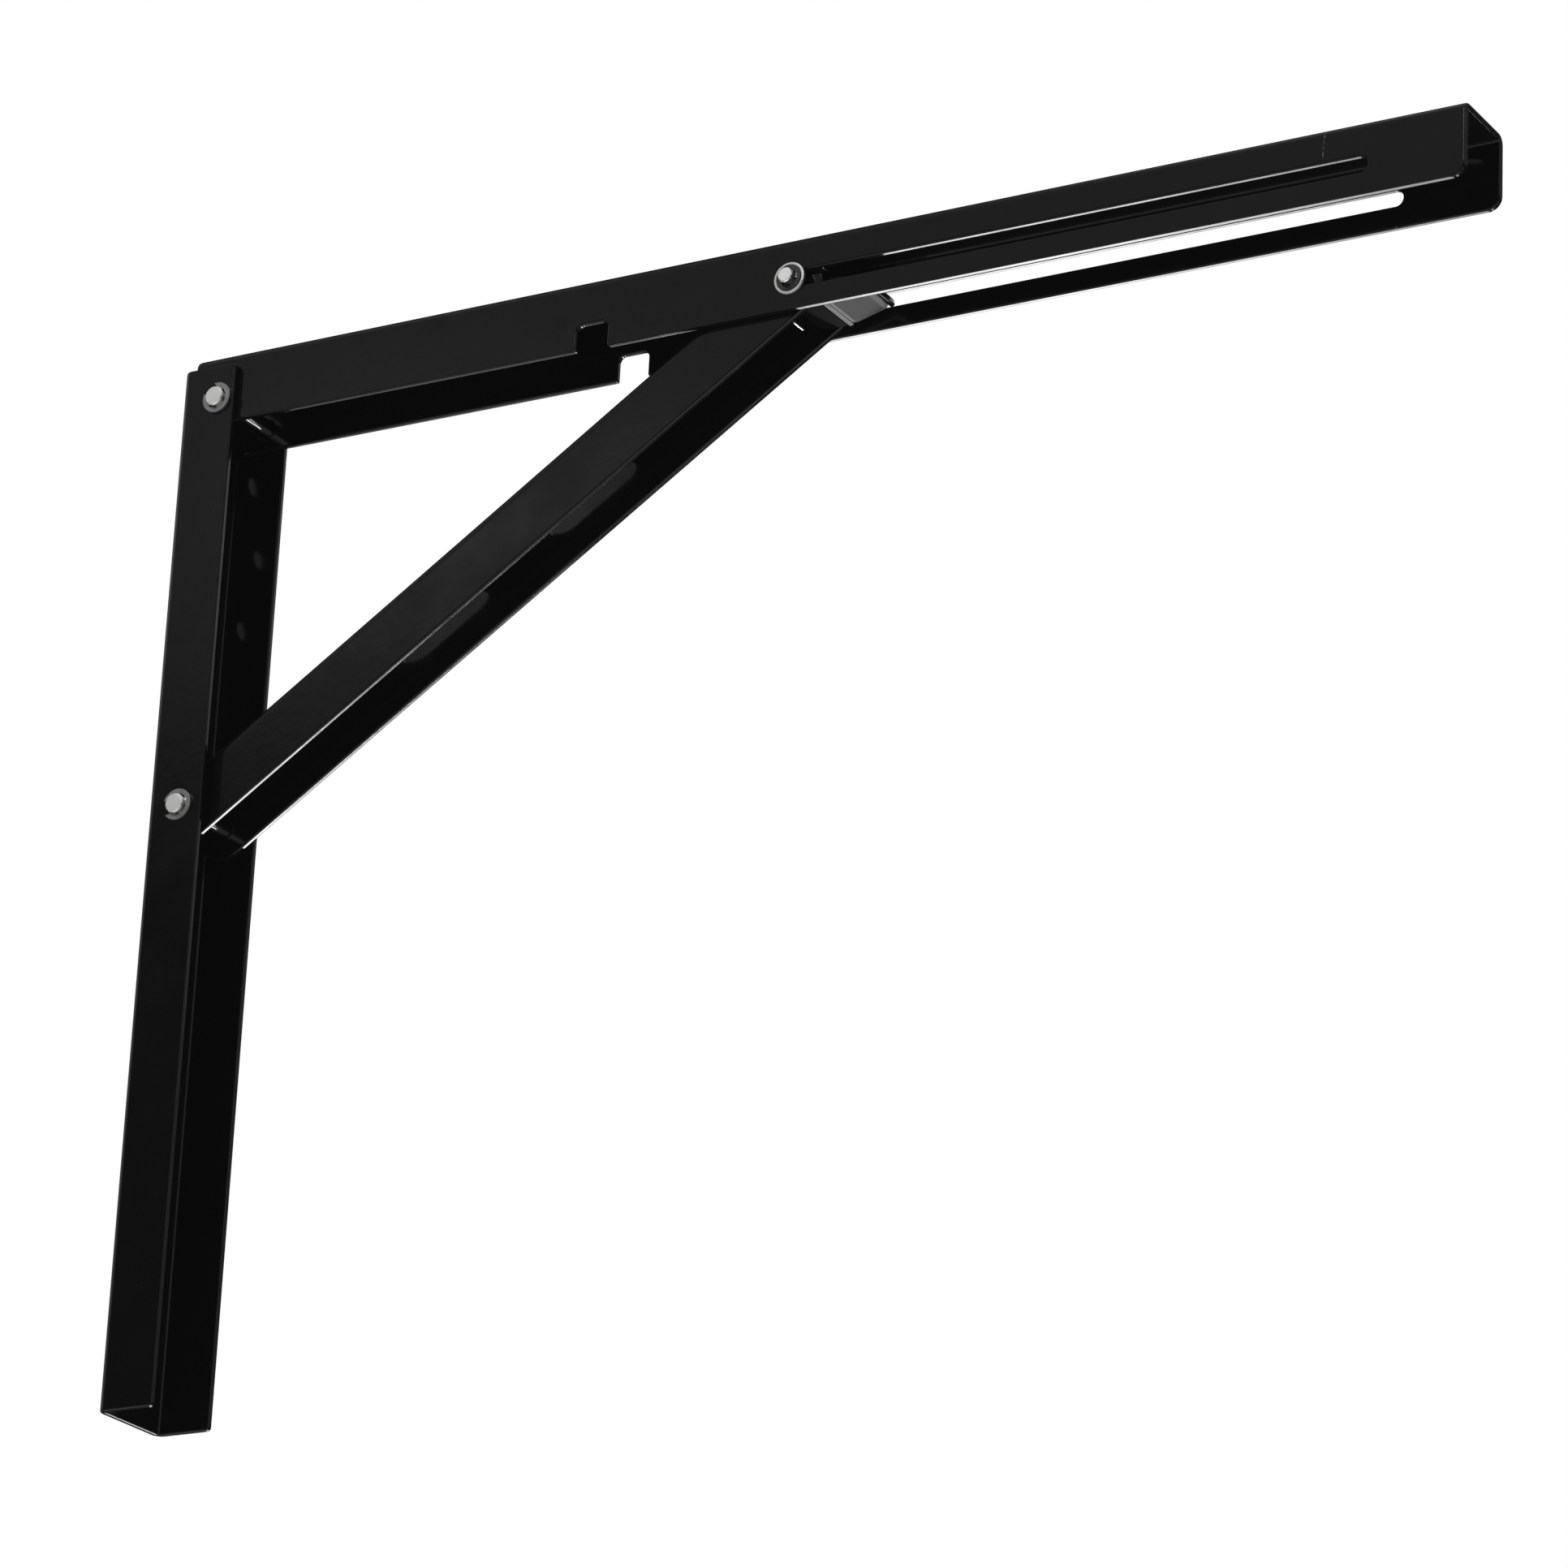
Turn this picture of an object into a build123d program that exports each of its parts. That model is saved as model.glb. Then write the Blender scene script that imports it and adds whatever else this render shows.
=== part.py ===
from build123d import *
import os
from math import hypot, sqrt

# Folding shelf bracket. X points out of the wall, Y across, Z up, all in millimetres.
# The origin lies on the wall plane, midway across, level with the arm pivot.

# Sheet steel of the three channels
sheet = 2.0                 # thickness
bend = 1.0                  # inner radius of every fold
side_gap = 0.5              # play on each side between one channel and the next
nest_gap = 0.4              # play between two channels, web to web or web to edge

# Wall channel
wall_width = 30.0
wall_depth = 18.8
wall_height = 319.0
wall_top = 10.9             # top edge above the arm pivot
wall_front_round = 1.2      # front corners of its sides
wall_rear_round = 1.5       # rear top corner
screw_d = 5.8               # clearance for a 5 mm wood screw
screw_stagger = 3.0         # each of the wall's holes stands this far to one side of the middle
wall_screw_drops = (11.4, 32.9, 58.1)

# Pivots
arm_pivot_x = 13.5          # arm pivot out from the wall
foot_pivot_x = 11.3         # brace pivot out from the wall
foot_pivot_drop = 128.2     # brace pivot below the arm pivot
pin_d = 6.0
pin_play = 0.05             # radial clearance of a pin in its holes
pin_proud = 2.65            # near end of a pivot pin beyond the wall channel
pin_head_d = 9.0
pin_head = 1.5
pin_head_round = 0.5
pin_chamfer = 0.35

# Arm channel
arm_top = 15.4              # shelf plane above the arm pivot
arm_depth = 22.1
arm_reach = 414.7           # tip out from the wall
arm_rear_gap = 1.0          # between the arm's rounded heel and the wall web
arm_tip_round = 4.0
arm_rear_round = 1.5
arm_screws = (70.0, 402.0)  # screw holes near its ends, from the wall
notch_side = 2.15           # play round the brace pivot in the arm's notch
notch_top = 0.5
notch_round = 2.0

# Slide of the brace in the arm
slide_rise = 2.4            # slot's centre line above the arm pivot
slide_reach = 193.7         # from the arm pivot to the slide pin, arm level
slide_pin_d = 4.6
slide_play = 0.08           # radial clearance of the slide pin in the slots
slot_start_spare = 0.3
slot_end_spare = 6.4        # slot left over when the bracket is folded
shaft_proud = 0.1           # shaft beyond the sides of the brace
slide_gap = 0.3             # between that shaft and the studs that ride in the slots
slide_proud = 3.7           # near stud beyond the arm
head_proud = 2.4            # formed head of the far stud beyond the arm
washer_d = 9.8
washer = 1.0
washer_rim = 0.85           # width of its raised rim
washer_recess = 0.45
washer_round = 0.3
washer_lift = 0.1           # between washer and arm
stud_head_d = 7.6

# Brace channel
brace_slots = ((87.5, 32.0), (145.5, 32.0))     # centre from the foot pivot, length; room for screw heads
brace_slot_width = 11.0
brace_web_back = 6.0        # the web stops this far before the slide pin
brace_foot_bevel = 2.5

# Spring clips
clip_d = 9.5
clip = 1.0
clip_finger = 1.9           # width of each finger
slide_clip_d = 7.8
slide_clip = 0.7
slide_clip_finger = 1.6
clip_finger_turn = 62.0     # outer fingers, degrees from the mouth
clip_ring_gap = 0.3         # from the shaft to the ring between the fingers
clip_mouth_side = 0.2       # mouth's half width short of the groove's radius
clip_turn = 130.0           # its mouth, degrees up from straight ahead
clip_play = 0.02
groove_depth = 0.55

# Release lever
lever_sheet = 1.5
lever_gap = 0.3             # to the inside of the brace
lever_eye = 7.4             # radius of the cheeks round the slide pin
lever_neck = 4.4            # upper corner of the cheeks above the slide pin
floor_rear = 1.0            # rear edge of the floor behind the slide pin, clear of the spring
floor_step = 1.0            # run of the floor's step up to the pad
lip_gap = 0.25              # between the pad and the lip that guards its front
lip_proud = 0.1             # lip beyond the pad's face
lip_round = 2.0
tooth_bite = 0.4            # height of the tooth above the underside of the arm web
tooth_face = 0.1            # tooth's flat face behind the slide pin's axis
tooth_back = 1.0            # length of its sloping back
heel_back = 8.0             # heel under the brace web, behind the slide pin
heel_flat = 4.0             # its flat
window_length = 6.5
window_side = 0.5
pad_length = 12.1
pad_width = 16.0
pad = 2.0
pad_tilt = 15.3             # slope of the pad, degrees
pad_ahead = 15.35           # middle of the pad's face from the slide pin
pad_below = 6.0
pad_bevel = 1.5             # along its face
pad_bevel_depth = 0.6
pad_round = 1.8
spring_wire = 0.9
spring_radius = 3.45        # to the middle of the wire
spring_turns = 4.5          # so that its two legs lie on opposite sides
spring_pitch = 1.1
spring_foot = (-1.2, -11.0)   # hooked end, from the slide pin
spring_seat_gap = 0.15

# Sizes worked out from those above
wall_bottom = wall_top - wall_height
arm_width = wall_width - 2 * (sheet + side_gap)
brace_width = arm_width - 2 * (sheet + side_gap)
heel_radius = arm_pivot_x - sheet - arm_rear_gap
brace_edge = foot_pivot_x - sheet - nest_gap                # lower edges below the pivot line
brace_top = arm_top - sheet - slide_rise - nest_gap         # web's outer face above the pivot line
slide_x = arm_pivot_x + slide_reach
brace_run = slide_x - foot_pivot_x
brace_climb = foot_pivot_drop + slide_rise
brace_length = hypot(brace_run, brace_climb)
shaft_end = brace_width / 2 + shaft_proud
along = Vector(brace_run, 0, brace_climb) / brace_length
across = Vector(-along.Z, 0, along.X)
pivot_step = arm_pivot_x - foot_pivot_x
folded_reach = foot_pivot_drop + sqrt(brace_length**2 - (slide_rise + pivot_step)**2)

wall_side = Plane.XZ
slide_side = Plane(origin=(slide_x, 0, slide_rise), x_dir=(1, 0, 0), z_dir=(0, -1, 0))
brace_side = Plane(origin=(foot_pivot_x, 0, -foot_pivot_drop), x_dir=along, z_dir=(0, -1, 0))


def channel_blank(width, depth, length):
    """A folded U: web on X = 0, sides towards +X, centred on Y, length along Z."""
    outside = Pos(depth / 2, 0) * Rectangle(depth, width)
    outside = fillet(outside.vertices().group_by(Axis.X)[0], bend + sheet)
    inside = Pos(sheet + depth / 2, 0) * Rectangle(depth, width - 2 * sheet)
    inside = fillet(inside.vertices().group_by(Axis.X)[0], bend)
    return extrude(outside - inside, amount=length)


def panel(x0, z0, x1, z1):
    """A rectangle between two corners."""
    return Pos((x0 + x1) / 2, (z0 + z1) / 2) * Rectangle(abs(x1 - x0), abs(z1 - z0))


def round_corner(outline, x, z, radius):
    """Rounds the corner of an outline that lies at x, z."""
    return fillet(outline.vertices().sort_by_distance((x, z, 0))[:1], radius)


def slab(side, outline):
    """An outline of a side view, run right across the bracket."""
    return extrude(side * outline, amount=wall_width, both=True)


def rod(radius, y0, y1):
    """A round bar on the Y axis."""
    return Pos(0, (y0 + y1) / 2, 0) * Rot(90, 0, 0) * Cylinder(radius, abs(y1 - y0))


def drill(x, z, radius):
    """A hole's cutter, right across the bracket at x, z."""
    return Pos(x, 0, z) * rod(radius, -wall_width, wall_width)


def at(x, z, shape):
    return Pos(x, 0, z) * shape


def wall_channel():
    frame = Plane(origin=(0, 0, wall_bottom), x_dir=(1, 0, 0), z_dir=(0, 0, 1))
    outline = panel(0, wall_bottom, wall_depth, wall_top)
    outline = round_corner(outline, wall_depth, wall_top, wall_front_round)
    outline = round_corner(outline, wall_depth, wall_bottom, wall_front_round)
    outline = round_corner(outline, 0, wall_top, wall_rear_round)
    body = frame * channel_blank(wall_width, wall_depth, wall_height) & slab(wall_side, outline)
    body -= drill(arm_pivot_x, 0, pin_d / 2 + pin_play)
    body -= drill(foot_pivot_x, -foot_pivot_drop, pin_d / 2 + pin_play)
    for number, drop in enumerate(wall_screw_drops):
        y = screw_stagger if number % 2 == 0 else -screw_stagger
        body -= Pos(sheet / 2, y, -drop) * Rot(0, 90, 0) * Cylinder(screw_d / 2, 2 * sheet)
    return body


def arm_outline():
    rear = arm_pivot_x - heel_radius
    low = arm_top - arm_depth
    whole = panel(rear, low, arm_reach, arm_top)
    heel = Pos(arm_pivot_x, 0) * Circle(heel_radius) & whole
    outline = whole - panel(rear, low, arm_pivot_x, 0) + heel
    outline = round_corner(outline, rear, arm_top, arm_rear_round)
    outline = round_corner(outline, arm_reach, low, arm_tip_round)
    middle = arm_pivot_x + foot_pivot_drop
    half = pin_d / 2 + notch_side
    top = pin_d / 2 + notch_top - pivot_step
    notch = panel(middle - half, low - notch_round, middle + half, top)
    notch = fillet(notch.vertices().group_by(Axis.Y)[-1], notch_round)
    start = slide_x - slot_start_spare
    end = arm_pivot_x + folded_reach + slot_end_spare
    slot = SlotCenterToCenter(end - start, slide_pin_d + 2 * slide_play)
    return outline - notch - Pos((start + end) / 2, slide_rise) * slot


def arm_channel():
    rear = arm_pivot_x - heel_radius
    frame = Plane(origin=(rear, 0, arm_top), x_dir=(0, 0, -1), z_dir=(1, 0, 0))
    body = frame * channel_blank(arm_width, arm_depth, arm_reach - rear) & slab(wall_side, arm_outline())
    body -= drill(arm_pivot_x, 0, pin_d / 2 + pin_play)
    over_slots = [arm_pivot_x + foot_pivot_drop + middle for middle, length in brace_slots]
    for x in (*arm_screws, *over_slots):
        body -= Pos(x, 0, arm_top - sheet / 2) * Cylinder(screw_d / 2, 2 * sheet)
    width = brace_width - 2 * (sheet + lever_gap - window_side)
    middle = slide_x - window_length / 2
    body -= Pos(middle, 0, arm_top - sheet / 2) * Box(window_length, width, 2 * sheet)
    return body


def brace_outline():
    """Side view from the foot pivot, along the line to the slide pin."""
    web_end = brace_length - brace_web_back
    outline = panel(0, -brace_edge, brace_length, brace_top)
    outline += Circle(brace_edge)
    outline += Pos(brace_length, 0) * Circle(brace_edge)
    shoulder = brace_edge / sqrt(2)
    bevel = make_face(Polyline(
        (0, 0), (-shoulder, shoulder), (-brace_foot_bevel, brace_top), (0, brace_top), close=True
    ))
    cut = panel(web_end, brace_top - sheet - bend, brace_length + 2 * brace_edge, 2 * brace_top)
    return outline + bevel - cut


def brace_channel():
    start = brace_side.origin - along * (2 * brace_edge) + across * brace_top
    frame = Plane(origin=start, x_dir=-across, z_dir=along)
    blank = frame * channel_blank(brace_width, brace_top + brace_edge, brace_length + 4 * brace_edge)
    body = blank & slab(brace_side, brace_outline())
    body -= drill(foot_pivot_x, -foot_pivot_drop, pin_d / 2 + pin_play)
    body -= drill(slide_x, slide_rise, slide_pin_d / 2 + pin_play)
    for middle, length in brace_slots:
        centre = brace_side.origin + along * middle + across * brace_top
        web = Plane(origin=centre, x_dir=along, z_dir=across)
        body -= extrude(web * SlotOverall(length, brace_slot_width), amount=2 * sheet, both=True)
    return body


def pivot_pin():
    """Headed pin on the Y axis: head on the far side, groove for its clip on the near side."""
    face = wall_width / 2
    near = -face - pin_proud
    pin = rod(pin_d / 2, near, face + pin_play)
    pin = chamfer(pin.edges().group_by(Axis.Y)[0], pin_chamfer)
    head = rod(pin_head_d / 2, face + pin_play, face + pin_play + pin_head)
    head = fillet(head.edges().group_by(Axis.Y)[-1], pin_head_round)
    seat = -face - pin_play
    groove = rod(pin_d, seat, seat - clip - pin_play) - rod(pin_d / 2 - groove_depth, near, face)
    return pin + head - groove


def spring_clip(shaft_d, outer_d, thickness, finger, y_inner):
    """Open clip with three fingers that reach into a shaft's groove; its mouth faces +X."""
    grip = shaft_d / 2 - groove_depth
    mouth = grip - clip_mouth_side
    middle = (shaft_d / 2 + outer_d / 2) / 2
    ring = Circle(outer_d / 2) - Circle(shaft_d / 2 + clip_ring_gap)
    for turn in (clip_finger_turn, 180, -clip_finger_turn):
        ring += Rot(0, 0, turn) * Pos(middle / 2, 0) * Rectangle(middle, finger)
    ring -= Circle(grip + clip_play)
    ring -= panel(0, -mouth, outer_d, mouth)
    flat = Plane(origin=(0, y_inner, 0), x_dir=(1, 0, 0), z_dir=(0, -1, 0)) * Rot(0, 0, clip_turn) * ring
    return extrude(flat, amount=thickness)


def pivot_clip():
    return spring_clip(pin_d, clip_d, clip, clip_finger, -wall_width / 2 - pin_play - pin_play / 2)


def slide_spring_clip():
    seat = arm_width / 2 + washer_lift + washer - washer_recess
    return spring_clip(slide_pin_d, slide_clip_d, slide_clip, slide_clip_finger, -seat - pin_play / 2)


def slide_stud():
    """Near end of the slide pin, through the arm's slot; it points to -Y."""
    face = arm_width / 2
    seat = face + washer_lift + washer - washer_recess
    inner = shaft_end + slide_gap
    stud = rod(slide_pin_d / 2, -inner, -face - slide_proud)
    stud = chamfer(stud.edges().group_by(Axis.Y)[0], pin_chamfer)
    groove = rod(slide_pin_d, -seat, -seat - slide_clip - pin_play)
    return stud - (groove - rod(slide_pin_d / 2 - groove_depth, -inner, -face - slide_proud))


def slide_headed_stud():
    """Far end of the slide pin, with its formed head on the washer."""
    face = arm_width / 2
    seat = face + washer_lift + washer - washer_recess
    stud = rod(slide_pin_d / 2, shaft_end + slide_gap, seat)
    head = rod(stud_head_d / 2, seat, face + head_proud)
    return stud + fillet(head.edges().group_by(Axis.Y)[-1], (face + head_proud - seat) / 2)


def slide_washer():
    """Cupped washer on the near side: flat back to the arm, raised rim outwards."""
    back = -arm_width / 2 - washer_lift
    front = back - washer
    body = rod(washer_d / 2, back, front)
    body = fillet(body.edges().group_by(Axis.Y)[0], washer_round)
    body -= rod(washer_d / 2 - washer_rim, front + washer_recess, front - washer)
    return body - rod(slide_pin_d / 2 + pin_play, back + washer, front - washer)


def from_slide(a, b):
    """A point given along and square to the brace, as x, z from the slide pin."""
    point = along * a + across * b
    return (point.X, point.Z)


def pad_plane():
    """On the pad's face: X up its slope, Z out of the lever."""
    slope = Vector(1, 0, 0).rotate(Axis.Y, -pad_tilt)
    origin = Vector(slide_x + pad_ahead, 0, slide_rise - pad_below)
    return Plane(origin=origin, x_dir=slope, z_dir=slope.rotate(Axis.Y, 90))


def from_pad(ahead, up):
    """A point ahead of the pad's middle and up from its face, as x, z from the slide pin."""
    face = pad_plane()
    point = face.origin + face.x_dir * ahead - face.z_dir * up - Vector(slide_x, 0, slide_rise)
    return (point.X, point.Z)


def lever_floor():
    """The floor in the side view: flat under the pin, a step up, the pad's seat, and a lip."""
    back = from_pad(-pad_length / 2, pad)
    back_top = from_pad(-pad_length / 2, pad + lever_sheet)
    lip = pad_length / 2 + lip_gap
    fold = from_pad(lip + lever_sheet, pad + lever_sheet)
    seat = make_face(Polyline(
        back, from_pad(lip, pad), from_pad(lip, -lip_proud), from_pad(lip + lever_sheet, -lip_proud),
        fold, back_top, close=True
    ))
    seat = round_corner(seat, *fold, lip_round)
    step = back[0] - floor_step
    flat_top = lever_sheet - lever_eye
    flat = panel(-floor_rear, -lever_eye, step, flat_top)
    ramp = make_face(Polyline(
        (step, -lever_eye), back, back_top, (back_top[0] - floor_step, flat_top), (0, flat_top), close=True
    ))
    return seat + flat + ramp


def release_lever():
    web_under = arm_top - sheet - slide_rise
    heel_height = brace_top - sheet - nest_gap
    tooth = make_face(Polyline(
        (-tooth_face, web_under + tooth_bite), (-tooth_face, 0), (-lever_eye, 0),
        from_slide(-heel_back, heel_height), from_slide(heel_flat - heel_back, heel_height),
        (-tooth_face - tooth_back, web_under), close=True
    ))
    back = from_pad(-pad_length / 2, pad)
    bar = make_face(Polyline(
        (0, lever_neck), from_pad(pad_length / 2, pad + lever_sheet), from_pad(pad_length / 2, pad),
        back, (back[0] - floor_step, -lever_eye), (0, -lever_eye), close=True
    ))
    floor = lever_floor()
    cheeks = Circle(lever_eye) + tooth + bar
    outer = brace_width / 2 - sheet - lever_gap
    body = extrude(slide_side * (cheeks + floor), amount=outer, both=True)
    body -= extrude(slide_side * (cheeks - floor), amount=outer - lever_sheet, both=True)
    return body - drill(slide_x, slide_rise, slide_pin_d / 2 + pin_play)


def lever_pad():
    plate = pad_plane() * Pos(0, 0, -pad / 2) * Box(pad_length, pad_width, pad)
    outward = pad_plane().z_dir
    upright = plate.edges().filter_by(Axis((0, 0, 0), outward))
    plate = fillet(upright, pad_round)
    face = plate.faces().sort_by(Axis((0, 0, 0), outward))[-1]
    return chamfer(face.edges(), pad_bevel, pad_bevel_depth, reference=face)


def wire_run(points):
    """Straight runs of spring wire with round corners."""
    run = None
    for start, end in zip(points[:-1], points[1:]):
        step = Vector(*end) - Vector(*start)
        bar = Plane(origin=start, z_dir=step) * Pos(0, 0, step.length / 2) * Cylinder(spring_wire / 2, step.length)
        piece = bar + Pos(*end) * Sphere(spring_wire / 2)
        run = piece if run is None else run + piece
    return run


def lever_spring():
    """Torsion spring round the slide pin, about the origin: coil, hooked leg and lever leg."""
    half = spring_turns * spring_pitch / 2
    line = Helix(spring_pitch, 2 * half, spring_radius)
    section = Plane(origin=line @ 0, z_dir=line % 0) * Circle(spring_wire / 2)
    coil = Pos(0, half, 0) * Rot(90, 0, 0) * sweep(section, path=line)
    x, z = spring_foot
    inner = brace_width / 2 - sheet - lever_gap - spring_wire / 2
    hook = wire_run([(-spring_radius, -half, 0), (x, -half, z), (x, -inner, z)])
    seat_x, seat_z = from_pad(0, pad + lever_sheet + spring_wire / 2 + spring_seat_gap)
    leg = wire_run([(spring_radius, half, 0), (seat_x, half, seat_z)])
    return coil + hook + leg


def mirrored(shape):
    return mirror(shape, about=Plane.XZ)


pieces = {
    "wall_channel": wall_channel(),
    "arm_channel": arm_channel(),
    "brace_channel": brace_channel(),
    "arm_pivot_pin": at(arm_pivot_x, 0, pivot_pin()),
    "arm_pivot_clip": at(arm_pivot_x, 0, pivot_clip()),
    "brace_pivot_pin": at(foot_pivot_x, -foot_pivot_drop, pivot_pin()),
    "brace_pivot_clip": at(foot_pivot_x, -foot_pivot_drop, pivot_clip()),
    "slide_shaft": at(slide_x, slide_rise, rod(slide_pin_d / 2, -shaft_end, shaft_end)),
    "slide_stud_near": at(slide_x, slide_rise, slide_stud()),
    "slide_stud_far": at(slide_x, slide_rise, slide_headed_stud()),
    "slide_washer_near": at(slide_x, slide_rise, slide_washer()),
    "slide_washer_far": at(slide_x, slide_rise, mirrored(slide_washer())),
    "slide_clip": at(slide_x, slide_rise, slide_spring_clip()),
    "release_lever": release_lever(),
    "lever_pad": lever_pad(),
    "lever_spring": at(slide_x, slide_rise, lever_spring()),
}

os.makedirs("parts", exist_ok=True)
for name, shape in pieces.items():
    export_step(shape, f"parts/{name}.step")

print("brace", round(brace_length, 3), "slope", round(along.get_angle(Vector(1, 0, 0)), 3))
print("folded reach", round(folded_reach, 3), "slot end", round(folded_reach + slot_end_spare, 3))
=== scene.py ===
from math import radians

import bpy
from mathutils import Matrix, Vector


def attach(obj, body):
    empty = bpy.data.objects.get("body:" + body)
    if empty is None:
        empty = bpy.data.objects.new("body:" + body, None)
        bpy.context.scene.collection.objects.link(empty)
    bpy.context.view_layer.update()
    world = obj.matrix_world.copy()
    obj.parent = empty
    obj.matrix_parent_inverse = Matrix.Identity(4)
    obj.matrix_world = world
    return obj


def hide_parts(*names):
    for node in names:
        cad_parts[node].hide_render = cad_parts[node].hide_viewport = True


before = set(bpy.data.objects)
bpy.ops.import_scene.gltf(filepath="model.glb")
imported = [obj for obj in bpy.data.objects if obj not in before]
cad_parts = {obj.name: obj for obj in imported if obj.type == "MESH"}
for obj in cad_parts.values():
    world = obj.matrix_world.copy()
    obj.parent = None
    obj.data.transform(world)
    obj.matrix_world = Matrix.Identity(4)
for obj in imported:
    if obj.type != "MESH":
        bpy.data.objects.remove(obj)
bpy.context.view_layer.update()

# Wall channel. Two-millimetre steel sheet folded to a U and stove-enamelled gloss black,
# with three staggered screw holes under its top end. The real one is screwed to the wall.
paint_colour = (0.0032, 0.0032, 0.0034, 1)
paint_index = 1.36          # refractive index of the enamel, which sets how strongly it mirrors
paint_roughness = 0.11      # about its middle value, from which it drifts over a face
paint_flow = {"fineness": 300.0, "depth": 0.000012}
painted_glow = (0.0025, 0.0025, 0.0026, 1)      # painted glow: a faint light the enamel gives off, in place of stray light in its deepest shade
dust_colour = (0.42, 0.41, 0.40, 1)
dust_size, dust_spacing, dust_share = 0.00016, 0.006, 0.16
dust_roughness = 0.5
sheet_edge = 0.0006         # radius that deburring and a thick coat of paint leave on a cut edge
edge_steps = 3              # faces across a rounded edge
sharp_bend = 35             # degrees past which an edge is rounded
flat_bend = 0.4             # degrees between facets that belong to one flat face
weld_distance = 0.000001    # corners nearer than this are one corner


def new_node(tree, kind, **settings):
    """A node in a tree; a setting is a property of the node or, failing that, an input's value."""
    node = tree.nodes.new(kind)
    for name, value in settings.items():
        if hasattr(node, name):
            setattr(node, name, value)
        else:
            node.inputs[name.replace("_", " ")].default_value = value
    return node


def new_group(name, inputs, outputs):
    """An empty node group with named sockets, and its input and output nodes."""
    tree = bpy.data.node_groups.new(name, "ShaderNodeTree")
    for socket, default in inputs.items():
        made = tree.interface.new_socket(socket, in_out="INPUT", socket_type="NodeSocketFloat")
        made.default_value = default
    for socket in outputs:
        tree.interface.new_socket(socket, in_out="OUTPUT", socket_type="NodeSocketFloat")
    return tree, tree.nodes.new("NodeGroupInput"), tree.nodes.new("NodeGroupOutput")


def dust_group():
    """Specks of dust: small round dots, one in some of the cells of a fine lattice."""
    tree, given, out = new_group("dust", {"Size": 0.0002, "Spacing": 0.004, "Share": 0.2}, ["Mask"])
    place = new_node(tree, "ShaderNodeTexCoord")
    lattice = new_node(tree, "ShaderNodeVectorMath", operation="DIVIDE")
    cells = new_node(tree, "ShaderNodeTexVoronoi", feature="F1", Scale=1.0)
    apart = new_node(tree, "ShaderNodeMath", operation="MULTIPLY")
    dot = new_node(tree, "ShaderNodeMath", operation="LESS_THAN")
    lot = new_node(tree, "ShaderNodeSeparateColor")
    drawn = new_node(tree, "ShaderNodeMath", operation="LESS_THAN")
    shade = new_node(tree, "ShaderNodeMath", operation="MULTIPLY")
    mask = new_node(tree, "ShaderNodeMath", operation="MULTIPLY")
    link = tree.links.new
    link(place.outputs["Object"], lattice.inputs[0])
    link(given.outputs["Spacing"], lattice.inputs[1])
    link(lattice.outputs[0], cells.inputs["Vector"])
    link(cells.outputs["Distance"], apart.inputs[0])
    link(given.outputs["Spacing"], apart.inputs[1])
    link(apart.outputs[0], dot.inputs[0])
    link(given.outputs["Size"], dot.inputs[1])
    link(cells.outputs["Color"], lot.inputs[0])
    link(lot.outputs["Red"], drawn.inputs[0])
    link(given.outputs["Share"], drawn.inputs[1])
    link(lot.outputs["Green"], shade.inputs[0])
    link(dot.outputs[0], shade.inputs[1])
    link(shade.outputs[0], mask.inputs[0])
    link(drawn.outputs[0], mask.inputs[1])
    link(mask.outputs[0], out.inputs["Mask"])
    return tree


def flow_group():
    """The slight waviness of a sprayed or moulded surface, as a height."""
    tree, given, out = new_group("flow", {"Fineness": 350.0}, ["Height"])
    place = new_node(tree, "ShaderNodeTexCoord")
    waves = new_node(tree, "ShaderNodeTexNoise", Detail=2.0, Roughness=0.45)
    tree.links.new(place.outputs["Object"], waves.inputs["Vector"])
    tree.links.new(given.outputs["Fineness"], waves.inputs["Scale"])
    tree.links.new(waves.outputs["Fac"], out.inputs["Height"])
    return tree


dust = dust_group()
flow = flow_group()


def new_material(name, **shader_values):
    """A material, its tree and its shader, with values set on the shader's own sockets."""
    material = bpy.data.materials.new(name)
    material.use_nodes = True
    tree = material.node_tree
    shader = tree.nodes["Principled BSDF"]
    for socket, value in shader_values.items():
        shader.inputs[socket.replace("_", " ")].default_value = value
    return material, tree, shader


def wavy(tree, shader, fineness, depth):
    """Bumps a material by the flow group."""
    waves = new_node(tree, "ShaderNodeGroup", node_tree=flow)
    waves.inputs["Fineness"].default_value = fineness
    bump = new_node(tree, "ShaderNodeBump", Strength=1.0, Distance=depth)
    tree.links.new(waves.outputs["Height"], bump.inputs["Height"])
    tree.links.new(bump.outputs["Normal"], shader.inputs["Normal"])


def spread(tree, low, high, scale, detail):
    """Noise on Object coordinates, mapped to a range of values."""
    place = new_node(tree, "ShaderNodeTexCoord")
    noise = new_node(tree, "ShaderNodeTexNoise", Scale=scale, Detail=detail)
    fit = new_node(tree, "ShaderNodeMapRange", From_Min=0.3, From_Max=0.7, To_Min=low, To_Max=high)
    tree.links.new(place.outputs["Object"], noise.inputs["Vector"])
    tree.links.new(noise.outputs["Fac"], fit.inputs["Value"])
    return fit.outputs["Result"]


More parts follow.
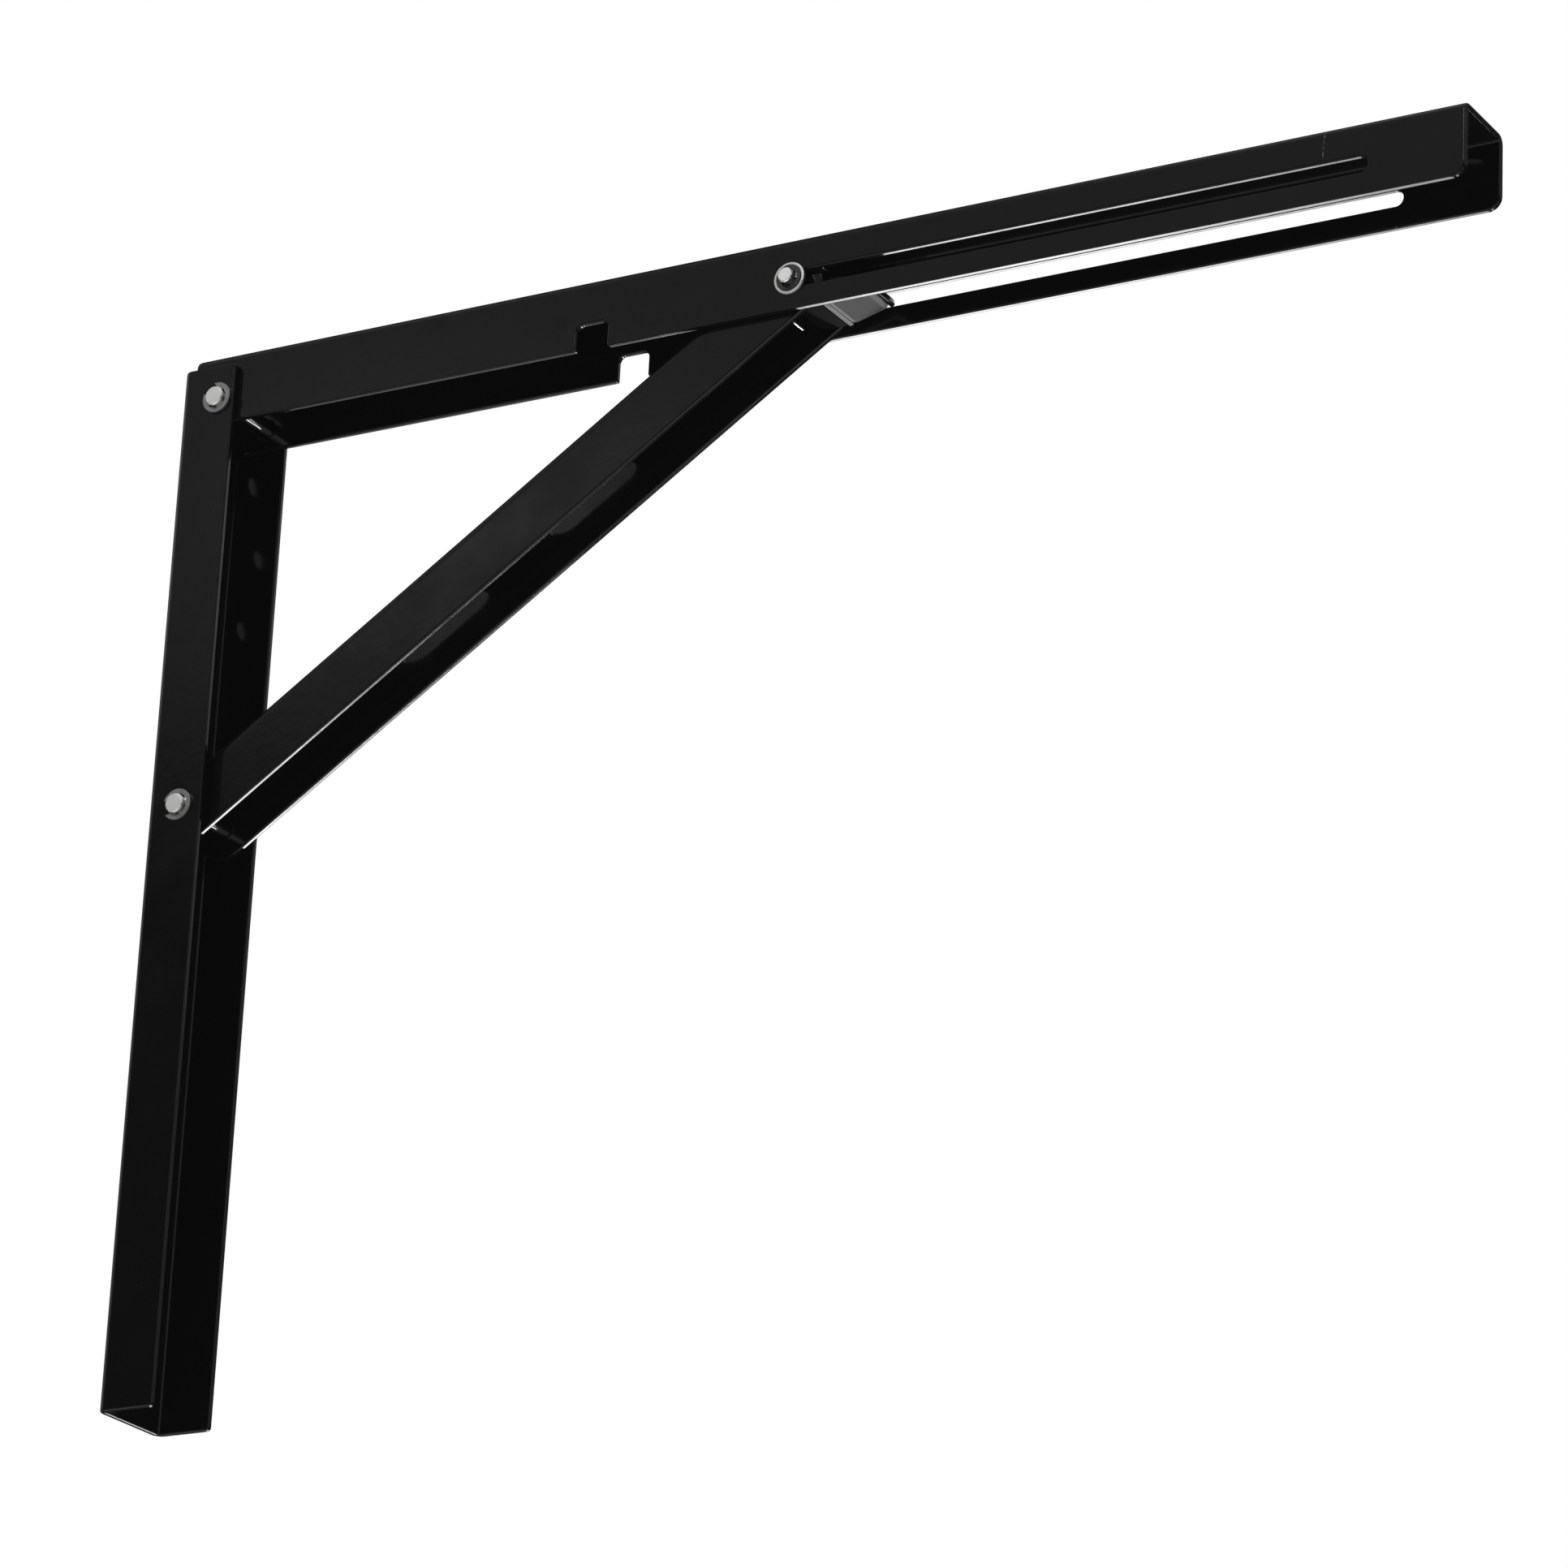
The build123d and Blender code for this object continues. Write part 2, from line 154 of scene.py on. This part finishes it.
def enamel(name, gloss_index):
    """Black sprayed enamel, with a few specks of dust and a faint painted glow of its own in place
    of stray light.
    """
    material, tree, shader = new_material(name, IOR=gloss_index, Emission_Color=painted_glow,
                                          Emission_Strength=1.0)
    specks = new_node(tree, "ShaderNodeGroup", node_tree=dust)
    specks.inputs["Size"].default_value = dust_size
    specks.inputs["Spacing"].default_value = dust_spacing
    specks.inputs["Share"].default_value = dust_share
    colour = new_node(tree, "ShaderNodeMix", data_type="RGBA")
    colour.inputs["A"].default_value = paint_colour
    colour.inputs["B"].default_value = dust_colour
    gloss = new_node(tree, "ShaderNodeMath", operation="MULTIPLY_ADD")
    gloss.inputs[1].default_value = dust_roughness
    drift = spread(tree, 0.7 * paint_roughness, 1.4 * paint_roughness, 60.0, 3.0)
    tree.links.new(specks.outputs["Mask"], colour.inputs["Factor"])
    tree.links.new(colour.outputs["Result"], shader.inputs["Base Color"])
    tree.links.new(specks.outputs["Mask"], gloss.inputs[0])
    tree.links.new(drift, gloss.inputs[2])
    tree.links.new(gloss.outputs[0], shader.inputs["Roughness"])
    wavy(tree, shader, **paint_flow)
    return material


def softened(node, body, material, edge, bend=sharp_bend):
    """Stands a copy for a CAD piece, its facets merged and its sharp edges rounded."""
    bpy.ops.object.select_all(action="DESELECT")
    piece = bpy.data.objects.new(node + "_finish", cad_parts[node].data.copy())
    bpy.context.scene.collection.objects.link(piece)
    piece.data.materials.clear()
    piece.data.materials.append(material)
    bpy.context.view_layer.objects.active = piece
    piece.select_set(True)
    bpy.ops.mesh.customdata_custom_splitnormals_clear()
    bpy.ops.object.mode_set(mode="EDIT")
    bpy.ops.mesh.select_all(action="SELECT")
    bpy.ops.mesh.remove_doubles(threshold=weld_distance)
    bpy.ops.mesh.dissolve_limited(angle_limit=radians(flat_bend))
    bpy.ops.object.mode_set(mode="OBJECT")
    bpy.ops.object.shade_smooth()
    rounding = piece.modifiers.new("rounding", "BEVEL")
    rounding.width = edge
    rounding.segments = edge_steps
    rounding.limit_method = "ANGLE"
    rounding.angle_limit = radians(bend)
    rounding.use_clamp_overlap = False
    rounding.harden_normals = True
    rounding.face_strength_mode = "FSTR_ALL"
    bpy.ops.object.modifier_apply(modifier="rounding")
    even = piece.modifiers.new("even", "WEIGHTED_NORMAL")
    even.keep_sharp = False
    even.use_face_influence = True
    bpy.ops.object.modifier_apply(modifier="even")
    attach(piece, body)
    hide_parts(node)
    return piece


black_enamel = enamel("black_enamel", paint_index)
softened("wall_channel", "wall", black_enamel, sheet_edge)

# Arm channel. The same sheet folded a little narrower, to drop between the sides of the
# wall channel; each side has the slide's long slot and a notch round the brace's pivot.
scratch_top = (0.37321, 0.01371)        # X and Z of its two ends
scratch_foot = (0.37261, 0.00604)
scratch_width = 0.00028
scratch_grey = (0.16, 0.16, 0.16, 1)
scratch_breaks = {"From_Min": 0.42, "From_Max": 0.56}   # share of the noise that leaves it whole
near_face = -0.012          # the near side lies beyond this on Y


def scratch_mask(tree):
    """A short broken scratch down the near side of the arm, above the far end of its slot."""
    (foot_x, foot_z), (top_x, top_z) = scratch_foot, scratch_top
    place = new_node(tree, "ShaderNodeTexCoord")
    parts = new_node(tree, "ShaderNodeSeparateXYZ")
    centre = new_node(tree, "ShaderNodeMapRange", From_Min=foot_z, From_Max=top_z,
                      To_Min=foot_x, To_Max=top_x)
    across = new_node(tree, "ShaderNodeMath", operation="COMPARE")
    across.inputs[2].default_value = scratch_width / 2
    along = new_node(tree, "ShaderNodeMath", operation="COMPARE")
    along.inputs[1].default_value = (top_z + foot_z) / 2
    along.inputs[2].default_value = (top_z - foot_z) / 2
    near = new_node(tree, "ShaderNodeMath", operation="LESS_THAN")
    near.inputs[1].default_value = near_face
    breaks = new_node(tree, "ShaderNodeTexNoise", Scale=900.0, Detail=2.0)
    whole = new_node(tree, "ShaderNodeMapRange", **scratch_breaks)
    link = tree.links.new
    link(place.outputs["Object"], parts.inputs[0])
    link(place.outputs["Object"], breaks.inputs["Vector"])
    link(parts.outputs["Z"], centre.inputs["Value"])
    link(parts.outputs["X"], across.inputs[0])
    link(centre.outputs["Result"], across.inputs[1])
    link(parts.outputs["Z"], along.inputs[0])
    link(parts.outputs["Y"], near.inputs[0])
    link(breaks.outputs["Fac"], whole.inputs["Value"])
    mask = across.outputs[0]
    for part in (along.outputs[0], near.outputs[0], whole.outputs["Result"]):
        both = new_node(tree, "ShaderNodeMath", operation="MULTIPLY")
        link(mask, both.inputs[0])
        link(part, both.inputs[1])
        mask = both.outputs[0]
    return mask


arm_enamel = enamel("arm_enamel", paint_index)
tree = arm_enamel.node_tree
scratched = new_node(tree, "ShaderNodeMix", data_type="RGBA")
scratched.inputs["B"].default_value = scratch_grey
shader = tree.nodes["Principled BSDF"]
tree.links.new(shader.inputs["Base Color"].links[0].from_socket, scratched.inputs["A"])
tree.links.new(scratch_mask(tree), scratched.inputs["Factor"])
tree.links.new(scratched.outputs["Result"], shader.inputs["Base Color"])
softened("arm_channel", "arm", arm_enamel, sheet_edge)

# Brace channel. Narrower again, with its web on top; two long slots in the web give
# room to the heads of the shelf's screws when the bracket is folded.
softened("brace_channel", "brace", black_enamel, sheet_edge)

# Pivot pins of the arm and the brace. Turned steel, bright zinc plated, with a formed
# head on the far side and a three-fingered spring clip in a groove on the near side.
pin_edge = 0.00006
pivot_ends = (-0.0174, 0.0163)          # on Y, beyond which the pins' ends are cropped dull
shank_colour = (0.88, 0.88, 0.86, 1)
shank_marks = {"fineness": 1800.0, "depth": 0.000008}
stamping_marks = {"fineness": 1800.0, "depth": 0.00001}
clip_grey = (0.34, 0.34, 0.345, 1)
clip_gloss = (0.3, 0.5)
brace_pivot = Vector((0.0113, 0, -0.1282))
brace_clip_turn = radians(-60)          # the brace's clip sits turned about its pin


def zinc(name, colour, low, high):
    """Zinc plate: a metal of uneven gloss, with the fine marks of turning or stamping."""
    material, tree, shader = new_material(name, Base_Color=colour, Metallic=1.0)
    tree.links.new(spread(tree, low, high, 900.0, 4.0), shader.inputs["Roughness"])
    wavy(tree, shader, **stamping_marks)
    return material


def turned_zinc(name, near, far):
    """Plated turned steel: a polished shank, and ends cropped dull beyond two places on Y."""
    material, tree, shader = new_material(name, Base_Color=shank_colour, Metallic=1.0)
    place = new_node(tree, "ShaderNodeTexCoord")
    parts = new_node(tree, "ShaderNodeSeparateXYZ")
    centred = new_node(tree, "ShaderNodeMath", operation="SUBTRACT")
    centred.inputs[1].default_value = (near + far) / 2
    size = new_node(tree, "ShaderNodeMath", operation="ABSOLUTE")
    end = new_node(tree, "ShaderNodeMath", operation="GREATER_THAN")
    end.inputs[1].default_value = (far - near) / 2
    gloss = new_node(tree, "ShaderNodeMix", data_type="FLOAT")
    tree.links.new(place.outputs["Object"], parts.inputs[0])
    tree.links.new(parts.outputs["Y"], centred.inputs[0])
    tree.links.new(centred.outputs[0], size.inputs[0])
    tree.links.new(size.outputs[0], end.inputs[0])
    tree.links.new(end.outputs[0], gloss.inputs["Factor"])
    tree.links.new(spread(tree, 0.08, 0.16, 900.0, 4.0), gloss.inputs["A"])
    tree.links.new(spread(tree, 0.42, 0.52, 1500.0, 4.0), gloss.inputs["B"])
    tree.links.new(gloss.outputs["Result"], shader.inputs["Roughness"])
    wavy(tree, shader, **shank_marks)
    return material


pivot_zinc = turned_zinc("pivot_zinc", *pivot_ends)
clip_steel = zinc("clip_steel", clip_grey, *clip_gloss)
clips = {}
for pivot in ("arm", "brace"):
    softened(pivot + "_pivot_pin", "wall", pivot_zinc, pin_edge)
    clips[pivot] = softened(pivot + "_pivot_clip", "wall", clip_steel, pin_edge)
turned = Matrix.Translation(brace_pivot) @ Matrix.Rotation(brace_clip_turn, 4, "Y")
clips["brace"].data.transform(turned @ Matrix.Translation(-brace_pivot))

# Slide pin. A zinc-plated shaft through the brace; its ends run in the arm's slots under
# cupped washers, with a spring clip in the near washer's recess and a head on the far end.
slide_axis = (0.2072, 0, 0.0024)
slide_ends = (-0.016, 0.0143)
recess_radius = 0.00405     # of the washers, inside their raised rim
# painted shade: a dark grey inside the washers' raised rim
recess_shade_grey = (0.06, 0.06, 0.06, 1)
rim_grey = (0.66, 0.66, 0.645, 1)
# painted shade: the slide's clip gets a far darker grey than the pivots' clips, for the shade in
# the washer's recess
slide_clip_shade_grey = (0.07, 0.07, 0.072, 1)
slide_zinc = turned_zinc("slide_zinc", *slide_ends)
softened("slide_shaft", "brace", slide_zinc, pin_edge)
for side in ("near", "far"):
    softened("slide_stud_" + side, "slider", slide_zinc, pin_edge)


def cupped_zinc():
    """The washers' plate: bright zinc on the raised rim, and painted shade darkening the recess."""
    material, tree, shader = new_material("washer_zinc", Metallic=1.0)
    place = new_node(tree, "ShaderNodeTexCoord")
    about = new_node(tree, "ShaderNodeMapping")
    about.inputs["Location"].default_value = [-value for value in slide_axis]
    about.inputs["Scale"].default_value = (1, 0, 1)
    reach = new_node(tree, "ShaderNodeVectorMath", operation="LENGTH")
    rim = new_node(tree, "ShaderNodeMapRange",
                   From_Min=0.97 * recess_radius, From_Max=1.05 * recess_radius)
    colour = new_node(tree, "ShaderNodeMix", data_type="RGBA")
    colour.inputs["A"].default_value = recess_shade_grey
    colour.inputs["B"].default_value = rim_grey
    tree.links.new(place.outputs["Object"], about.inputs["Vector"])
    tree.links.new(about.outputs[0], reach.inputs[0])
    tree.links.new(reach.outputs["Value"], rim.inputs["Value"])
    tree.links.new(rim.outputs["Result"], colour.inputs["Factor"])
    tree.links.new(colour.outputs["Result"], shader.inputs["Base Color"])
    tree.links.new(spread(tree, 0.34, 0.48, 900.0, 3.0), shader.inputs["Roughness"])
    wavy(tree, shader, **stamping_marks)
    return material


washer_zinc = cupped_zinc()
for side in ("near", "far"):
    softened("slide_washer_" + side, "slider", washer_zinc, pin_edge)
slide_clip_shaded_steel = zinc("slide_clip_shaded_steel", slide_clip_shade_grey, *clip_gloss)
softened("slide_clip", "slider", slide_clip_shaded_steel, pin_edge)

# Release lever. Thinner black sheet folded round the slide pin; its floor steps up to the
# pad and folds down before it as a lip. The tooth on its cheeks holds the open bracket in
# the arm's window. Under the floor, as far as the step, a copy of the enamel that hardly mirrors
# paints shade.
lever_edge = 0.0004
shade_index = 1.02           # painted shade: so that the enamel under the floor hardly mirrors
step_start = 0.2152         # where the floor's step begins, on X
facing_down = -0.5
lever = softened("release_lever", "lever", black_enamel, lever_edge)
lever.data.materials.append(enamel("shaded_enamel", shade_index))
for face in lever.data.polygons:
    if face.center.x < step_start and face.normal.z < facing_down:
        face.material_index = 1

# Thumb pad. A grey moulded plate under the lever, with a broad bevel round its face.
pad_edge = 0.0003
pad_bend = 15               # degrees past which an edge of the pad is rounded
pad_tilt = 15.3             # slope of its face, in degrees
pad_middle = (0.22255, 0, -0.0036)
pad_half_length, pad_half_width = 0.00605, 0.008
border = 0.0013             # smooth border round the grained middle, painted paler as a highlight on the bevel
border_round = 0.0012       # rounding of the grained middle's corners
border_fade = 0.00012
grain_fineness = 600.0
grain_depth = 0.00004
grain_grey = (0.039, 0.039, 0.04, 1)
# painted highlight: the paler grey of the border where the bevel catches the light
border_highlight_grey = (0.265, 0.265, 0.262, 1)


def moulded():
    """Satin plastic: a smooth border round a finely grained middle, the border painted paler as a
    highlight on the bevel.
    """
    material, tree, shader = new_material("grey_moulding", IOR=1.46)
    place = new_node(tree, "ShaderNodeTexCoord")
    centred = new_node(tree, "ShaderNodeVectorMath", operation="SUBTRACT")
    centred.inputs[1].default_value = pad_middle
    level = new_node(tree, "ShaderNodeVectorRotate", rotation_type="Y_AXIS")
    level.inputs["Angle"].default_value = radians(pad_tilt)
    parts = new_node(tree, "ShaderNodeSeparateXYZ")
    tree.links.new(place.outputs["Object"], centred.inputs[0])
    tree.links.new(centred.outputs[0], level.inputs["Vector"])
    tree.links.new(level.outputs[0], parts.inputs[0])
    inside = []
    for axis, half in (("X", pad_half_length), ("Y", pad_half_width)):
        size = new_node(tree, "ShaderNodeMath", operation="ABSOLUTE")
        left = new_node(tree, "ShaderNodeMath", operation="SUBTRACT")
        left.inputs[0].default_value = half - border
        tree.links.new(parts.outputs[axis], size.inputs[0])
        tree.links.new(size.outputs[0], left.inputs[1])
        inside.append(left.outputs[0])
    least = new_node(tree, "ShaderNodeMath", operation="SMOOTH_MIN")
    least.inputs[2].default_value = border_round
    middle = new_node(tree, "ShaderNodeMapRange", From_Min=-border_fade, From_Max=border_fade)
    grain = new_node(tree, "ShaderNodeTexNoise", Scale=grain_fineness, Detail=4.0)
    tree.links.new(place.outputs["Object"], grain.inputs["Vector"])
    grained = new_node(tree, "ShaderNodeMix", data_type="RGBA", blend_type="MULTIPLY")
    grained.inputs["Factor"].default_value = 0.6
    grained.inputs["A"].default_value = grain_grey
    colour = new_node(tree, "ShaderNodeMix", data_type="RGBA")
    colour.inputs["A"].default_value = border_highlight_grey
    gloss = new_node(tree, "ShaderNodeMapRange", To_Min=0.16, To_Max=0.5)
    bump = new_node(tree, "ShaderNodeBump", Strength=0.6, Distance=grain_depth)
    raised = new_node(tree, "ShaderNodeMath", operation="MULTIPLY")
    link = tree.links.new
    link(inside[0], least.inputs[0])
    link(inside[1], least.inputs[1])
    link(least.outputs[0], middle.inputs["Value"])
    link(grain.outputs["Color"], grained.inputs["B"])
    link(middle.outputs["Result"], colour.inputs["Factor"])
    link(grained.outputs["Result"], colour.inputs["B"])
    link(colour.outputs["Result"], shader.inputs["Base Color"])
    link(middle.outputs["Result"], gloss.inputs["Value"])
    link(gloss.outputs["Result"], shader.inputs["Roughness"])
    link(middle.outputs["Result"], raised.inputs[0])
    link(grain.outputs["Fac"], raised.inputs[1])
    link(raised.outputs[0], bump.inputs["Height"])
    link(bump.outputs["Normal"], shader.inputs["Normal"])
    return material


grey_moulding = moulded()
softened("lever_pad", "lever", grey_moulding, pad_edge, bend=pad_bend)

# Heel of the thumb pad. A rounded rib of the same moulding along the pad's rear edge,
# which fills the groove between the pad and the step in the lever's floor.
heel_size = (0.00135, 0.0156, 0.0012)
heel_place = (0.21602, 0, -0.00458)
bpy.ops.mesh.primitive_cube_add(size=1)
heel = bpy.context.object
heel.name = "pad_heel"
heel.scale = heel_size
heel.rotation_euler = (0, radians(-pad_tilt), 0)
heel.location = heel_place
bpy.ops.object.transform_apply(location=True, rotation=True, scale=True)
heel.data.materials.append(grey_moulding)
rounding = heel.modifiers.new("rounding", "BEVEL")
rounding.width = pad_edge
rounding.segments = edge_steps
bpy.ops.object.modifier_apply(modifier="rounding")
bpy.ops.object.shade_smooth()
heel.modifiers.new("even", "WEIGHTED_NORMAL")
bpy.ops.object.modifier_apply(modifier="even")
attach(heel, "lever")

# Lever spring. Drawn steel wire coiled round the slide pin; one leg presses up the
# lever's floor, and the other is hooked against the brace.
spring_grey = (0.7, 0.7, 0.69, 1)
spring_gloss = (0.18, 0.3)
spring_edge = 0.00001
spring_wire = zinc("spring_wire", spring_grey, *spring_gloss)
softened("lever_spring", "lever", spring_wire, spring_edge)

# Studio. A white surround with a dark side behind the camera that the enamel mirrors,
# a pale floor far below, and the camera, which looks up at the open bracket.
camera_place = (1.0657, -1.4452, -0.7772)
camera_turn = (110.616, -2.559, 29.799)
camera_lens, sensor_width = 149.6, 36
farthest_seen = 100
floor_height = -2.6
floor_width = 2.4
floor_grey = (0.8, 0.8, 0.8, 1)


def band(tree, angle, middle, half, soft):
    """One where an angle lies within half of the middle, with a soft edge, else nought."""
    off = new_node(tree, "ShaderNodeMath", operation="SUBTRACT")
    turned = new_node(tree, "ShaderNodeMath", operation="WRAP")
    turned.inputs[1].default_value = 180
    turned.inputs[2].default_value = -180
    size = new_node(tree, "ShaderNodeMath", operation="ABSOLUTE")
    outer = new_node(tree, "ShaderNodeMath", operation="ADD")
    inner = new_node(tree, "ShaderNodeMath", operation="SUBTRACT")
    fade = new_node(tree, "ShaderNodeMapRange", interpolation_type="SMOOTHSTEP")
    link = tree.links.new
    link(angle, off.inputs[0])
    link(middle, off.inputs[1])
    link(off.outputs[0], turned.inputs[0])
    link(turned.outputs[0], size.inputs[0])
    link(half, outer.inputs[0])
    link(soft, outer.inputs[1])
    link(half, inner.inputs[0])
    link(soft, inner.inputs[1])
    link(size.outputs[0], fade.inputs["Value"])
    link(outer.outputs[0], fade.inputs["From Min"])
    link(inner.outputs[0], fade.inputs["From Max"])
    return fade.outputs["Result"]


def panel_group():
    """A soft-edged panel of light, placed by its compass angle and its height in degrees."""
    inputs = {"Around": 0, "Up": 0, "Middle Around": 0, "Half Width": 10, "Middle Up": 0,
              "Half Height": 10, "Soft": 1, "Light": 1, "Before": 0}
    tree, given, out = new_group("panel", inputs, ["Sum"])
    value = given.outputs
    wide = band(tree, value["Around"], value["Middle Around"], value["Half Width"], value["Soft"])
    tall = band(tree, value["Up"], value["Middle Up"], value["Half Height"], value["Soft"])
    inside = new_node(tree, "ShaderNodeMath", operation="MULTIPLY")
    total = new_node(tree, "ShaderNodeMath", operation="MULTIPLY_ADD")
    tree.links.new(wide, inside.inputs[0])
    tree.links.new(tall, inside.inputs[1])
    tree.links.new(inside.outputs[0], total.inputs[0])
    tree.links.new(value["Light"], total.inputs[1])
    tree.links.new(value["Before"], total.inputs[2])
    tree.links.new(total.outputs[0], out.inputs["Sum"])
    return tree


# Each panel's middle and half width round the compass from +X, its middle and half height
# above the horizon, all in degrees, the softness of its edge, and its light
panels = (
    (-120, 70, 40.5, 20, 0.4, 0.32),        # grey wall behind the camera
    (-123.3, 2.3, 22.5, 1.0, 0.5, 0.48),    # its brighter lower edge
    (-95, 8, 35, 8, 2, 15.0),               # key light before it
    (0, 190, 90, 26, 4, 0.6),               # roof
    (0, 190, -90, 42, 3, 1.3),              # floor under the bracket
    (-82, 137, -26, 12, 4, 0.5),            # low walls all round but at the back
    (-8, 36, 30, 26, 5, 0.5),               # grey wall beyond the open end
    (-182, 30, 14, 14, 4, 0.35),            # and one beyond the wall channel
    (95, 20, 41, 20, 1.2, 0.95),            # white wall at the back
    (54, 5, 30.8, 10, 1.2, 0.95),           # white card that the cut front edges mirror
    (54, 5, 19.4, 1.0, 0.5, 0.3),           # a thin one under it
    (54, 5, 15, 6, 2, 0.22),                # and a grey one at its foot
    (86.7, 5.6, -41, 5, 0.5, 25.0),         # lamp low at the back
    (80.5, 2.8, -39, 5, 1.0, 0.14),         # its reflector
    (64.8, 1.6, -34.2, 1.4, 0.6, 5.0),      # glint in the opening of the wall channel
    (119.2, 1.5, -26, 6.9, 0.3, 10.5),      # lit card beside the lamp, in four strips
    (117, 1.0, -26, 6.9, 0.5, 7.0),
    (115.2, 1.2, -26, 6.9, 0.6, 3.6),
    (111.5, 2.5, -26, 6.9, 1, 2.5),
    (125.4, 2.9, -24, 1.5, 0.5, 0.9),       # its dimmer outer edge
    (120.5, 3.5, -10, 9, 1.5, 1.5),         # and the wall above it
)
dim = 0.03                  # the room around them
world = bpy.data.worlds.new("studio")
bpy.context.scene.world = world
world.use_nodes = True
tree = world.node_tree
tree.nodes.clear()
toward = new_node(tree, "ShaderNodeTexCoord")
parts = new_node(tree, "ShaderNodeSeparateXYZ")
around = new_node(tree, "ShaderNodeMath", operation="ARCTAN2")
around_degrees = new_node(tree, "ShaderNodeMath", operation="DEGREES")
up = new_node(tree, "ShaderNodeMath", operation="ARCSINE")
up_degrees = new_node(tree, "ShaderNodeMath", operation="DEGREES")
tree.links.new(toward.outputs["Generated"], parts.inputs[0])
tree.links.new(parts.outputs["Y"], around.inputs[0])
tree.links.new(parts.outputs["X"], around.inputs[1])
tree.links.new(around.outputs[0], around_degrees.inputs[0])
tree.links.new(parts.outputs["Z"], up.inputs[0])
tree.links.new(up.outputs[0], up_degrees.inputs[0])
panel_tree = panel_group()
light_so_far = None
for middle_around, half_width, middle_up, half_height, soft, light in panels:
    panel = new_node(tree, "ShaderNodeGroup", node_tree=panel_tree)
    panel.inputs["Middle Around"].default_value = middle_around
    panel.inputs["Half Width"].default_value = half_width
    panel.inputs["Middle Up"].default_value = middle_up
    panel.inputs["Half Height"].default_value = half_height
    panel.inputs["Soft"].default_value = soft
    panel.inputs["Light"].default_value = light
    panel.inputs["Before"].default_value = dim
    tree.links.new(around_degrees.outputs[0], panel.inputs["Around"])
    tree.links.new(up_degrees.outputs[0], panel.inputs["Up"])
    if light_so_far:
        tree.links.new(light_so_far, panel.inputs["Before"])
    light_so_far = panel.outputs["Sum"]
seen = new_node(tree, "ShaderNodeMix", data_type="RGBA")
seen.inputs["B"].default_value = (1, 1, 1, 1)
ray = new_node(tree, "ShaderNodeLightPath")
surround = new_node(tree, "ShaderNodeBackground")
out = new_node(tree, "ShaderNodeOutputWorld")
tree.links.new(ray.outputs["Is Camera Ray"], seen.inputs["Factor"])
tree.links.new(light_so_far, seen.inputs["A"])
tree.links.new(seen.outputs["Result"], surround.inputs["Color"])
tree.links.new(surround.outputs[0], out.inputs["Surface"])

floor_paint = new_material("floor", Base_Color=floor_grey, Roughness=0.9)[0]
bpy.ops.mesh.primitive_plane_add(size=floor_width, location=(0, 0, floor_height))
floor = bpy.context.object
floor.name = "floor"
floor.data.materials.append(floor_paint)

bpy.ops.object.camera_add(location=camera_place, rotation=[radians(turn) for turn in camera_turn])
camera = bpy.context.object
camera.data.lens = camera_lens
camera.data.sensor_width = sensor_width
camera.data.clip_end = farthest_seen
bpy.context.scene.camera = camera
bpy.context.scene.view_settings.view_transform = "Standard"
